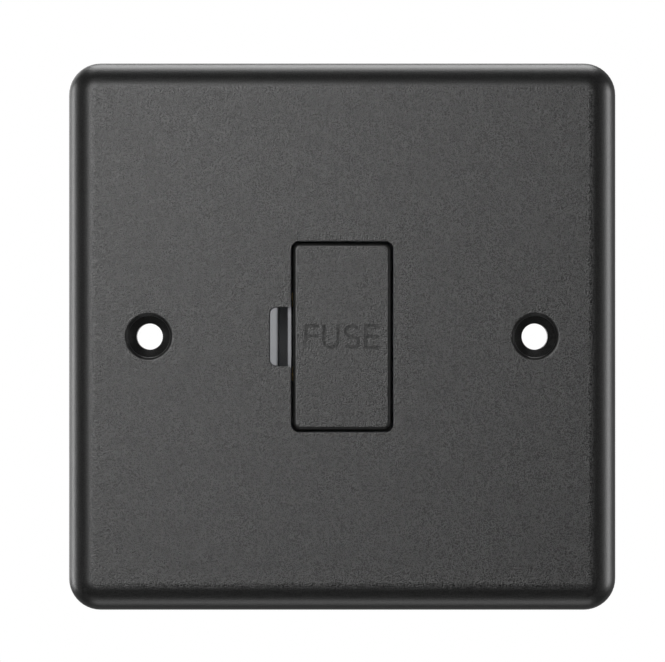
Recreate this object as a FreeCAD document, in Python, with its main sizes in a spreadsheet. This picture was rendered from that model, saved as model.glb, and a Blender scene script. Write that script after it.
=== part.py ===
import FreeCAD, Part
import math
import os
from types import SimpleNamespace

import Sketcher

# Fused spur unit, unswitched, on a single square plate.
# Millimetres. X to the right seen from the front, Z up, and the front looks along -Y.
# The wall plane is y = 0, and the origin lies midway between the two fixing holes.

os.makedirs("parts", exist_ok=True)
doc = FreeCAD.newDocument("FusedSpurUnit")

# The driving sizes: name, value in millimetres, and what it is.
SIZES = [
    ("plate_width", 86.0, "front plate, side to side"),
    ("plate_height", 86.0, "front plate, bottom to top"),
    ("plate_depth", 8.0, "from the wall to the plate's front"),
    ("plate_wall", 1.4, "wall of the plate"),
    ("plate_corner", 5.0, "corner radius seen from the front"),
    ("plate_rounding", 4.5, "radius of the rounded front edge"),
    ("fixing_spacing", 60.3, "between the centres of the fixing holes"),
    ("fixing_bore", 4.1, "diameter of a fixing hole"),
    ("fixing_bore_depth", 1.7, "length of its straight bore"),
    ("fixing_boss", 10.0, "diameter of the boss behind a fixing hole"),
    ("seat_mouth", 6.5, "diameter of the screw seat's mouth"),
    ("seat_lip", 0.6, "rounding of that mouth"),
    ("seat_wall", 0.9, "depth of the straight wall under the mouth"),
    ("seat_slope", 1.15, "depth of the seat's cone"),
    ("opening_width", 16.1, "carrier opening in the plate"),
    ("opening_height", 29.95, "carrier opening in the plate"),
    ("opening_corner", 1.5, "corner radius of the carrier opening"),
    ("notch_reach", 3.35, "how far the pry notch goes beyond the opening"),
    ("notch_height", 9.3, "height of the pry notch"),
    ("notch_corner", 1.1, "corner radius of the pry notch"),
    ("notch_lip", 0.4, "rounding where the notch meets the opening"),
    ("moulding_width", 49.0, "front moulding and rear housing"),
    ("moulding_height", 64.0, "front moulding and rear housing"),
    ("moulding_corner", 3.0, "their corner radius"),
    ("flange_thickness", 2.4, "flange of the front moulding"),
    ("collar_step", 0.05, "collar inside the edge of the plate's opening, each side"),
    ("collar_wall", 1.2, "wall of the collar"),
    ("collar_depth", 1.2, "collar behind the flange"),
    ("land_gap", 0.15, "gap round the land in the notch"),
    ("land_recess", 0.25, "land behind the plate's front"),
    ("land_rounding", 0.3, "rounding between the land and the groove"),
    ("groove_width", 1.55, "pry groove"),
    ("groove_wall", 0.5, "thin wall between the groove and the carrier"),
    ("groove_depth", 8.8, "groove behind the plate"),
    ("groove_overrun", 0.2, "groove beyond the notch, each end"),
    ("groove_shell", 0.9, "walls round the groove"),
    ("bridge_depth", 1.1, "thin wall in front of the window"),
    ("window_height", 7.0, "window from the groove to the carrier"),
    ("window_sill", 0.4, "thin wall behind the window"),
    ("carrier_gap", 0.32, "carrier to collar, each side"),
    ("carrier_proud", 0.1, "carrier in front of the plate"),
    ("carrier_corner", 1.2, "corner radius of the carrier"),
    ("cap_depth", 2.3, "carrier cap, front to back"),
    ("cap_wall", 0.9, "wall of the cap"),
    ("cap_rounding", 0.65, "rounded front edge of the cap"),
    ("cap_gap", 0.05, "cap to the carrier inside it"),
    ("base_depth", 2.6, "base of the carrier behind the cap"),
    ("core_wall", 1.3, "walls round the hollows in the carrier"),
    ("pry_depth", 0.9, "ledge for the screwdriver tip"),
    ("pry_gap", 0.15, "ledge behind the thin wall"),
    ("leg_thickness", 1.1, "carrier legs"),
    ("leg_width", 10.0, "carrier legs"),
    ("lug_width", 7.0, "stop lugs on the legs"),
    ("lug_height", 1.0, "stop lugs on the legs"),
    ("lug_length", 1.7, "stop lugs on the legs"),
    ("lug_slope", 0.6, "lead-in at the end of the lugs"),
    ("lug_gap", 0.3, "lug to the wall of its well"),
    ("stop_gap", 0.1, "left between lug and collar at full pull"),
    ("carrier_travel", 16.2, "how far the carrier pulls out"),
    ("fuse_end_gap", 0.805, "fuse to the leg at each end; the fuse is then 25.4 long"),
    ("fuse_size", 6.35, "diameter over the fuse caps"),
    ("fuse_depth", 5.0, "from the wall plane back to the fuse's axis"),
    ("fuse_cap_length", 6.0, "fuse cap"),
    ("fuse_cap_wall", 0.275, "side of a fuse cap"),
    ("fuse_cap_end", 0.5, "end of a fuse cap"),
    ("fuse_bore", 3.6, "bore of the ceramic tube"),
    ("fuse_wire", 0.4, "fuse wire"),
    ("stem_width", 3.0, "stem of the cradle"),
    ("cradle_end_gap", 2.2, "cradle to the fuse cap at each end"),
    ("cradle_wall", 1.1, "wall of the cradle"),
    ("cradle_gap", 0.05, "cradle to the ceramic tube"),
    ("cradle_mouth", 4.6, "opening that the tube snaps through"),
    ("contact_thickness", 0.6, "contact strip"),
    ("contact_width", 5.2, "contact jaw, along the fuse"),
    ("contact_inset", 0.4, "jaw inside the fuse's end"),
    ("contact_gap", 0.1, "jaw leaf to fuse cap"),
    ("contact_floor_gap", 0.35, "cradle to the contact behind it"),
    ("contact_flare", 1.0, "how far the leaves open at the tips"),
    ("contact_flare_depth", 1.4, "length of the flared tips"),
    ("contact_lead", 2.4, "straight leaf in front of the fuse's axis"),
    ("contact_bend", 0.4, "inside radius of the jaw's bends"),
    ("link_width", 2.3, "flat link from a jaw to its terminal"),
    ("link_gap", 0.2, "link to the sides of its channel"),
    ("terminal_width", 8.0, "terminal block, side to side"),
    ("terminal_height", 8.0, "terminal block, along its wire"),
    ("terminal_depth", 9.0, "terminal block, front to back"),
    ("terminal_chamfer", 0.4, "edges of a terminal block"),
    ("terminal_pitch", 15.0, "between neighbouring terminals"),
    ("terminal_row", 23.5, "from the centre up or down to a row of terminals"),
    ("terminal_gap", 0.2, "terminal block to its well"),
    ("wire_bore", 4.2, "wire hole in a terminal"),
    ("wire_bore_depth", 3.4, "from the block's front to the wire hole's axis"),
    ("wire_room", 0.5, "wire channel in the housing, beyond the bore all round"),
    ("clamp_size", 3.2, "shank of a terminal screw"),
    ("thread_gap", 0.05, "shank of any screw to its threaded hole"),
    ("clamp_start", 0.3, "tip above the wire hole when open"),
    ("clamp_travel", 2.3, "how far a terminal screw goes in"),
    ("clamp_head", 4.6, "head of a terminal screw"),
    ("clamp_head_height", 1.5, "head of a terminal screw"),
    ("clamp_head_gap", 0.1, "left under the head when closed"),
    ("clamp_access", 0.25, "head to its access hole"),
    ("slot_width", 0.8, "slots of the screws"),
    ("slot_depth", 0.7, "slots of the screws"),
    ("neutral_width", 3.0, "neutral link"),
    ("strap_thickness", 0.8, "earth strap"),
    ("strap_limb", 2.5, "upright limb of the earth strap"),
    ("strap_arm", 8.0, "upper and lower arms of the earth strap"),
    ("strap_leg", 6.0, "legs from the strap to the earth terminals"),
    ("strap_ear", 7.0, "ear of the strap at the earth screw"),
    ("strap_clear", 0.75, "strap to the collar"),
    ("earth_screw_inset", 4.0, "earth screw from the moulding's side"),
    ("post_size", 4.0, "posts that hold the terminals in"),
    ("screw_size", 2.8, "shank of the assembly screws and the earth screw"),
    ("screw_gap", 0.1, "shank to clearance hole"),
    ("screw_head", 4.4, "head of these screws"),
    ("screw_head_height", 1.4, "head of these screws"),
    ("screw_inset", 3.2, "the two assembly screws from the moulding's edges"),
    ("screw_bite", 0.6, "plate left in front of a screw's hole"),
    ("screw_bite_gap", 0.2, "hole beyond the screw's tip"),
    ("plate_boss", 5.0, "screw bosses behind the plate"),
    ("plate_boss_gap", 0.2, "boss to its hole in the flange"),
    ("well_width", 17.0, "well for the carrier and the jaws"),
    ("well_gap", 0.25, "housing to the collar and the groove"),
    ("leg_gap", 0.5, "leg to its well"),
    ("leg_room", 1.0, "behind the legs"),
    ("rear_wall", 1.0, "rear wall behind the legs"),
    ("terminal_floor", 4.0, "rear wall behind the terminals"),
    ("housing_chamfer", 0.8, "rear edge of the housing"),
    ("cell_wall", 1.5, "walls round the hollow cells of the housing"),
    ("cell_floor", 2.6, "front wall of the cells"),
    ("rear_recess", 0.8, "shallow recess round each screw access hole"),
    ("rear_recess_size", 11.0, "that recess, side to side"),
]

sheet = doc.addObject("Spreadsheet::Sheet", "Sizes")
for row, (alias, value, meaning) in enumerate(SIZES, 1):
    sheet.set(f"A{row}", meaning)
    sheet.set(f"B{row}", str(value))
    sheet.setAlias(f"B{row}", alias)
doc.recompute()

# S.plate_wall is the text that points a formula at that size.
S = SimpleNamespace(**{alias: f"Sizes.{alias}" for alias, value, meaning in SIZES})

# Places along Y, from the front to the back.
PLATE_FRONT = f"(-{S.plate_depth})"
PLATE_BACK = f"({S.plate_wall} - {S.plate_depth})"
FLANGE_BACK = f"({PLATE_BACK} + {S.flange_thickness})"
COLLAR_BACK = f"({FLANGE_BACK} + {S.collar_depth})"
LAND_FRONT = f"({PLATE_FRONT} + {S.land_recess})"
GROOVE_BACK = f"({PLATE_BACK} + {S.groove_depth})"
BRIDGE_BACK = f"({PLATE_BACK} + {S.bridge_depth})"
FIXING_BACK = f"({PLATE_FRONT} + {S.seat_wall} + {S.seat_slope} + {S.fixing_bore_depth})"
CARRIER_FRONT = f"({PLATE_FRONT} - {S.carrier_proud})"
CAP_BACK = f"({CARRIER_FRONT} + {S.cap_depth})"
BASE_BACK = f"({CAP_BACK} + {S.base_depth})"
LUG_FRONT = f"({COLLAR_BACK} + {S.carrier_travel} + {S.stop_gap})"
LEG_BACK = f"({LUG_FRONT} + {S.lug_length})"
HOUSING_BACK = f"({LEG_BACK} + {S.leg_room} + {S.rear_wall})"
TERMINAL_BACK = f"({HOUSING_BACK} - {S.terminal_floor})"
TERMINAL_FRONT = f"({TERMINAL_BACK} - {S.terminal_depth})"
WIRE_AXIS = f"({TERMINAL_FRONT} + {S.wire_bore_depth})"
STRAP_FRONT = f"({FLANGE_BACK} - {S.strap_thickness})"
SCREW_HOLE_FRONT = f"({PLATE_FRONT} + {S.screw_bite})"
SCREW_TIP = f"({SCREW_HOLE_FRONT} + {S.screw_bite_gap})"

# Half widths and heights.
COLLAR_SIDE = f"({S.opening_width} / 2 - {S.collar_step})"
COLLAR_TOP = f"({S.opening_height} / 2 - {S.collar_step})"
CARRIER_SIDE = f"({COLLAR_SIDE} - {S.carrier_gap})"
CARRIER_TOP = f"({COLLAR_TOP} - {S.carrier_gap})"
LEG_INSIDE = f"({CARRIER_TOP} - {S.leg_thickness})"
LUG_TOP = f"({CARRIER_TOP} + {S.lug_height})"
GROOVE_RIGHT = f"({COLLAR_SIDE} + {S.groove_wall})"
GROOVE_LEFT = f"({GROOVE_RIGHT} + {S.groove_width})"
GROOVE_TOP = f"({S.notch_height} / 2 + {S.groove_overrun})"
FUSE_TOP = f"({LEG_INSIDE} - {S.fuse_end_gap})"
FUSE_TUBE = f"({S.fuse_size} - 2 * {S.fuse_cap_wall})"
CRADLE_TOP = f"({FUSE_TOP} - {S.fuse_cap_length} - {S.cradle_end_gap})"
CRADLE_INSIDE = f"({FUSE_TUBE} / 2 + {S.cradle_gap})"
CRADLE_OUTSIDE = f"({CRADLE_INSIDE} + {S.cradle_wall})"
LEAF_INSIDE = f"({S.fuse_size} / 2 + {S.contact_gap})"
LEAF_OUTSIDE = f"({LEAF_INSIDE} + {S.contact_thickness})"
CONTACT_BACK = f"({S.fuse_depth} + {CRADLE_OUTSIDE} + {S.contact_floor_gap} + {S.contact_thickness})"
CONTACT_FRONT = f"({CONTACT_BACK} - {S.contact_thickness})"
CONTACT_TOP = f"({FUSE_TOP} - {S.contact_inset})"
CONTACT_LOW = f"({CONTACT_TOP} - {S.contact_width})"
LINK_LOW = f"({CONTACT_LOW} - {S.link_width})"
LINK_INSIDE = f"({S.terminal_pitch} - {S.terminal_width} / 2)"
LINK_OUTSIDE = f"({LINK_INSIDE} + {S.link_width})"
ROW_INSIDE = f"({S.terminal_row} - {S.terminal_height} / 2)"
ROW_OUTSIDE = f"({S.terminal_row} + {S.terminal_height} / 2)"
STRAP_INSIDE = f"({COLLAR_SIDE} + {S.collar_wall} + {S.strap_clear})"
STRAP_OUTSIDE = f"({STRAP_INSIDE} + {S.strap_limb})"
STRAP_LOW = f"({S.terminal_row} - {S.strap_arm} / 2)"
STRAP_TOP = f"({S.terminal_row} + {S.strap_arm} / 2)"
MOULDING_SIDE = f"({S.moulding_width} / 2)"
MOULDING_TOP = f"({S.moulding_height} / 2)"
EARTH_SCREW = f"({MOULDING_SIDE} - {S.earth_screw_inset})"
SCREW_SIDE = f"({MOULDING_SIDE} - {S.screw_inset})"
SCREW_TOP = f"({MOULDING_TOP} - {S.screw_inset})"
SIDES = (-1, 1)
ASSEMBLY_SCREWS = [(f"{side} * {SCREW_SIDE}", f"{side} * {SCREW_TOP}") for side in SIDES]
START_RADIUS = 9.0  # outlines are drawn as regular polygons of this radius, then pulled to their formulas
cut_features = []


def size(name):
    """One value from the sheet, as a number."""
    return float(getattr(sheet, name))


def new_body(label):
    """An empty body whose label is the name of its sub-part."""
    body = doc.addObject("PartDesign::Body", label)
    body.Label = label
    return body


def origin_plane(body, role):
    """One of the body's own origin planes."""
    return next(plane for plane in body.Origin.OriginFeatures if plane.Role == role)


def new_sketch(body, name, role, place, aside="0"):
    """A sketch on an origin plane, at `place` along the axis across it and `aside` along its own X."""
    sketch = body.newObject("Sketcher::SketchObject", name)
    sketch.AttachmentSupport = (origin_plane(body, role), [""])
    sketch.MapMode = "FlatFace"
    across = f"-1 * ({place})" if role == "XZ_Plane" else place
    sketch.setExpression("AttachmentOffset.Base.z", across)
    sketch.setExpression("AttachmentOffset.Base.x", aside)
    return sketch


def pin_point(sketch, geometry, point, start, place):
    """Ties a point's two coordinates to formulas; `start` is where it was drawn."""
    for kind, now, formula in zip(("DistanceX", "DistanceY"), start, place):
        constraint = Sketcher.Constraint(kind, -1, 1, geometry, point, now)
        number = sketch.addConstraint(constraint)
        sketch.setExpression(f"Constraints[{number}]", str(formula))


def draw_polygon(sketch, corners):
    """A closed outline of straight lines through corners given as pairs of formulas."""
    count = len(corners)
    first = sketch.GeometryCount
    turns = [2 * math.pi * (number + 0.25) / count for number in range(count)]
    starts = [(START_RADIUS * math.cos(turn), START_RADIUS * math.sin(turn)) for turn in turns]
    points = [FreeCAD.Vector(x, y, 0) for x, y in starts]
    for number in range(count):
        sketch.addGeometry(Part.LineSegment(points[number], points[(number + 1) % count]))
    for number in range(count):
        after = first + (number + 1) % count
        sketch.addConstraint(Sketcher.Constraint("Coincident", first + number, 2, after, 1))
        pin_point(sketch, first + number, 1, starts[number], corners[number])


def draw_box(sketch, left, right, low, high):
    """A rectangle between four formulas."""
    draw_polygon(sketch, [(left, low), (right, low), (right, high), (left, high)])


def draw_circle(sketch, x, y, radius):
    """A circle whose centre and radius are formulas."""
    start = (3.0, 2.0)
    circle = Part.Circle(FreeCAD.Vector(*start, 0), FreeCAD.Vector(0, 0, 1), 1.0)
    geometry = sketch.addGeometry(circle)
    pin_point(sketch, geometry, 3, start, (x, y))
    number = sketch.addConstraint(Sketcher.Constraint("Radius", geometry, 1.0))
    sketch.setExpression(f"Constraints[{number}]", radius)


def add_feature(body, kind, name, sketch, length, reverse):
    """A pad or pocket of a sketch."""
    feature = body.newObject(f"PartDesign::{kind}", name)
    feature.Profile = sketch
    feature.setExpression("Length", length)
    feature.Reversed = reverse
    sketch.Visibility = False
    if kind == "Pocket":
        cut_features.append(feature)
    return feature


def pad_back(body, name, front, back, draw):
    """Adds what `draw` puts in a sketch seen from the front, between two places along Y."""
    sketch = new_sketch(body, name + "_outline", "XZ_Plane", front)
    draw(sketch)
    return add_feature(body, "Pad", name, sketch, f"{back} - {front}", True)


def cut_back(body, name, front, back, draw):
    """Cuts what `draw` puts in a sketch seen from the front, between two places along Y."""
    sketch = new_sketch(body, name + "_outline", "XZ_Plane", front)
    draw(sketch)
    return add_feature(body, "Pocket", name, sketch, f"{back} - {front}", False)


def pad_up(body, name, low, high, draw):
    """Adds what `draw` puts in a sketch seen from above, between two heights."""
    sketch = new_sketch(body, name + "_outline", "XY_Plane", low)
    draw(sketch)
    return add_feature(body, "Pad", name, sketch, f"{high} - {low}", False)


def cut_up(body, name, low, high, draw):
    """Cuts what `draw` puts in a sketch seen from above, between two heights."""
    sketch = new_sketch(body, name + "_outline", "XY_Plane", low)
    draw(sketch)
    return add_feature(body, "Pocket", name, sketch, f"{high} - {low}", True)


def box(left, right, low, high):
    """A rectangle to be drawn later."""
    return lambda sketch: draw_box(sketch, left, right, low, high)


def centred_box(side, top, x="0", z="0"):
    """A rectangle of half width `side` and half height `top` about a point."""
    return box(f"{x} - {side}", f"{x} + {side}", f"{z} - {top}", f"{z} + {top}")


def circles(centres, radius):
    """Equal circles to be drawn later."""
    def draw(sketch):
        for x, z in centres:
            draw_circle(sketch, x, z, radius)
    return draw


def boxes(corner_sets):
    """Several rectangles to be drawn later."""
    def draw(sketch):
        for corners in corner_sets:
            draw_box(sketch, *corners)
    return draw


def span(side, near, far):
    """The lower and the upper of two distances on one side of the centre."""
    return (near, far) if side > 0 else (f"-1 * {far}", f"-1 * {near}")


def dress(body, kind, name, formula, choose):
    """A fillet or chamfer on the edges of the body's tip that `choose` picks."""
    doc.recompute()
    tip = body.Tip
    names = [f"Edge{number}" for number, edge in enumerate(tip.Shape.Edges, 1) if choose(edge)]
    if not names:
        raise ValueError(f"{body.Label}: no edge for {name}")
    feature = body.newObject(f"PartDesign::{kind}", name)
    feature.Base = (tip, names)
    feature.setExpression("Radius" if kind == "Fillet" else "Size", formula)
    return feature


def runs_along(edge, axis):
    """Is the edge a straight line along X, Y or Z (0, 1, 2)?"""
    if not isinstance(edge.Curve, Part.Line):
        return False
    return abs(edge.Curve.Direction[axis]) > 0.999


def lies_at(edge, axis, place):
    """Does the whole edge lie at one coordinate?"""
    box_of = edge.BoundBox
    low = (box_of.XMin, box_of.YMin, box_of.ZMin)[axis]
    high = (box_of.XMax, box_of.YMax, box_of.ZMax)[axis]
    return abs(low - place) < 1e-4 and abs(high - place) < 1e-4


def corner_at(side, top):
    """Chooses the edges along Y at the four corners of a rectangle about the centre."""
    def choose(edge):
        centre = edge.BoundBox.Center
        at_corner = abs(abs(centre.x) - side) < 1e-4 and abs(abs(centre.z) - top) < 1e-4
        return runs_along(edge, 1) and at_corner
    return choose


def make_front_plate():
    """The plate: a tray with rounded edges, the carrier opening and notch, and dished fixing holes."""
    body = new_body("front_plate")
    side, top = f"({S.plate_width} / 2)", f"({S.plate_height} / 2)"
    pad_back(body, "slab", PLATE_FRONT, "0", centred_box(side, top))
    cut_back(body, "hollow", PLATE_BACK, "0",
             centred_box(f"({side} - {S.plate_wall})", f"({top} - {S.plate_wall})"))
    wall = size("plate_wall")
    corner = corner_at(size("plate_width") / 2 - wall, size("plate_height") / 2 - wall)
    dress(body, "Fillet", "hollow_corners", f"{S.plate_corner} - {S.plate_wall}", corner)
    corner = corner_at(size("plate_width") / 2, size("plate_height") / 2)
    dress(body, "Fillet", "corners", S.plate_corner, corner)
    front, floor = -size("plate_depth"), wall - size("plate_depth")
    # This bevel inside the tray keeps the wall as thick behind the rounded front edge as elsewhere.
    dress(body, "Chamfer", "hollow_edge", f"({S.plate_rounding} - {S.plate_wall}) * (2 - sqrt(2))",
          lambda edge: lies_at(edge, 1, floor))
    dress(body, "Fillet", "rounded_front", S.plate_rounding, lambda edge: lies_at(edge, 1, front))

    cut_back(body, "carrier_opening", PLATE_FRONT, PLATE_BACK,
             centred_box(f"{S.opening_width} / 2", f"{S.opening_height} / 2"))
    corner = corner_at(size("opening_width") / 2, size("opening_height") / 2)
    dress(body, "Fillet", "opening_corners", S.opening_corner, corner)
    cut_back(body, "pry_notch", PLATE_FRONT, PLATE_BACK,
             box(f"-1 * ({S.opening_width} / 2 + {S.notch_reach})", "0",
                 f"-1 * {S.notch_height} / 2", f"{S.notch_height} / 2"))
    reach = size("opening_width") / 2 + size("notch_reach")
    corner = corner_at(reach, size("notch_height") / 2)
    dress(body, "Fillet", "notch_corners", S.notch_corner, corner)
    corner = corner_at(size("opening_width") / 2, size("notch_height") / 2)
    dress(body, "Fillet", "notch_lips", S.notch_lip, corner)

    pad_back(body, "screw_bosses", PLATE_BACK, f"({FLANGE_BACK} - {S.plate_boss_gap})",
             circles(ASSEMBLY_SCREWS, f"{S.plate_boss} / 2"))
    pad_back(body, "earth_boss", PLATE_BACK, STRAP_FRONT,
             circles([(EARTH_SCREW, "0")], f"{S.plate_boss} / 2"))
    cut_back(body, "screw_holes", SCREW_HOLE_FRONT, FLANGE_BACK,
             circles(ASSEMBLY_SCREWS + [(EARTH_SCREW, "0")], f"{S.screw_size} / 2 + {S.thread_gap}"))

    across = f"{S.fixing_spacing} / 2"
    boss = pad_back(body, "fixing_boss", PLATE_BACK, FIXING_BACK,
                    circles([(across, "0")], f"{S.fixing_boss} / 2"))
    profile = new_sketch(body, "screw_seat_profile", "XY_Plane", "0", across)
    mouth, bore = f"{S.seat_mouth} / 2", f"{S.fixing_bore} / 2"
    wall_end = f"{PLATE_FRONT} + {S.seat_wall}"
    draw_polygon(profile, [
        ("0", PLATE_FRONT), (mouth, PLATE_FRONT), (mouth, wall_end),
        (bore, f"{wall_end} + {S.seat_slope}"), (bore, FIXING_BACK), ("0", FIXING_BACK),
    ])
    seat = body.newObject("PartDesign::Groove", "screw_seat")
    seat.Profile = profile
    seat.ReferenceAxis = (profile, ["V_Axis"])
    seat.Angle = 360
    cut_features.append(seat)
    doc.recompute()
    pair = body.newObject("PartDesign::Mirrored", "left_fixing")
    pair.Originals = [boss, seat]
    pair.MirrorPlane = (origin_plane(body, "YZ_Plane"), [""])
    body.Tip = pair
    doc.recompute()

    def on_mouth(edge):
        wide = abs(edge.BoundBox.ZLength - size("seat_mouth")) < 1e-3
        return lies_at(edge, 1, front) and wide
    dress(body, "Fillet", "seat_lips", S.seat_lip, on_mouth)
    return body


def make_front_moulding():
    """The grey moulding behind the plate: flange, collar, the land and groove in the notch, posts."""
    body = new_body("front_moulding")
    pad_back(body, "flange", PLATE_BACK, FLANGE_BACK, centred_box(MOULDING_SIDE, MOULDING_TOP))
    corner = corner_at(size("moulding_width") / 2, size("moulding_height") / 2)
    dress(body, "Fillet", "flange_corners", S.moulding_corner, corner)
    outer_side, outer_top = f"({COLLAR_SIDE} + {S.collar_wall})", f"({COLLAR_TOP} + {S.collar_wall})"
    pad_back(body, "collar", FLANGE_BACK, COLLAR_BACK, centred_box(outer_side, outer_top))
    shell_left, shell_top = f"({GROOVE_LEFT} + {S.groove_shell})", f"({GROOVE_TOP} + {S.groove_shell})"
    pad_back(body, "groove_shell", FLANGE_BACK, f"({GROOVE_BACK} + {S.groove_shell})",
             box(f"-1 * {shell_left}", f"-1 * {COLLAR_SIDE}", f"-1 * {shell_top}", shell_top))
    notch_left = f"({S.opening_width} / 2 + {S.notch_reach} - {S.land_gap})"
    land_top = f"({S.notch_height} / 2 - {S.land_gap})"
    pad_back(body, "land", LAND_FRONT, PLATE_BACK,
             box(f"-1 * {notch_left}", f"-1 * {GROOVE_LEFT}", f"-1 * {land_top}", land_top))
    land_x = -(size("opening_width") / 2 + size("notch_reach") - size("land_gap"))
    land_z = size("notch_height") / 2 - size("land_gap")
    back = size("plate_wall") - size("plate_depth")

    def on_land(edge):
        centre = edge.BoundBox.Center
        at_corner = abs(centre.x - land_x) < 1e-4 and abs(abs(centre.z) - land_z) < 1e-4
        return runs_along(edge, 1) and at_corner and centre.y < back
    dress(body, "Fillet", "land_corners", f"{S.notch_corner} - {S.land_gap}", on_land)

    cut_back(body, "carrier_passage", PLATE_BACK, COLLAR_BACK, centred_box(COLLAR_SIDE, COLLAR_TOP))
    cut_back(body, "pry_groove", PLATE_BACK, GROOVE_BACK,
             box(f"-1 * {GROOVE_LEFT}", f"-1 * {GROOVE_RIGHT}", f"-1 * {GROOVE_TOP}", GROOVE_TOP))
    cut_back(body, "pry_window", BRIDGE_BACK, f"({COLLAR_BACK} - {S.window_sill})",
             box(f"-1 * {GROOVE_RIGHT}", f"-1 * {COLLAR_SIDE}",
                 f"-1 * {S.window_height} / 2", f"{S.window_height} / 2"))
    land_y = size("land_recess") - size("plate_depth")
    groove_x = -(size("opening_width") / 2 - size("collar_step") + size("groove_wall")
                 + size("groove_width"))

    def on_groove(edge):
        return lies_at(edge, 1, land_y) and lies_at(edge, 0, groove_x)
    dress(body, "Fillet", "land_edge", S.land_rounding, on_groove)

    cut_back(body, "boss_holes", PLATE_BACK, FLANGE_BACK,
             circles(ASSEMBLY_SCREWS + [(EARTH_SCREW, "0")], f"{S.plate_boss} / 2 + {S.plate_boss_gap}"))
    cut_back(body, "strap_recess", STRAP_FRONT, FLANGE_BACK, draw_strap(S.plate_boss_gap))
    half = f"{S.post_size} / 2"
    posts = [(f"{side} * {S.terminal_pitch} - {half}", f"{side} * {S.terminal_pitch} + {half}",
              f"{row} * {S.terminal_row} - {half}", f"{row} * {S.terminal_row} + {half}")
             for side in SIDES for row in SIDES]
    pad_back(body, "terminal_posts", FLANGE_BACK, TERMINAL_FRONT, boxes(posts))
    return body


def draw_strap(gap):
    """The earth strap's outline: two arms, an upright limb and the ear, wider by `gap` all round."""
    arm = f"({S.strap_leg} / 2 + {gap})"
    inside, outside = f"({STRAP_INSIDE} - {gap})", f"({STRAP_OUTSIDE} + {gap})"
    low, top = f"({STRAP_LOW} - {gap})", f"({STRAP_TOP} + {gap})"
    ear, ear_end = f"({S.strap_ear} / 2 + {gap})", f"({EARTH_SCREW} + {S.strap_ear} / 2)"
    upper = [(inside, low), (f"-1 * {arm}", low), (f"-1 * {arm}", top), (outside, top),
             (outside, ear), (ear_end, ear)]
    lower = [(x, f"-1 * {z}") for x, z in reversed(upper)]
    return lambda sketch: draw_polygon(sketch, upper + lower)


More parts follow.
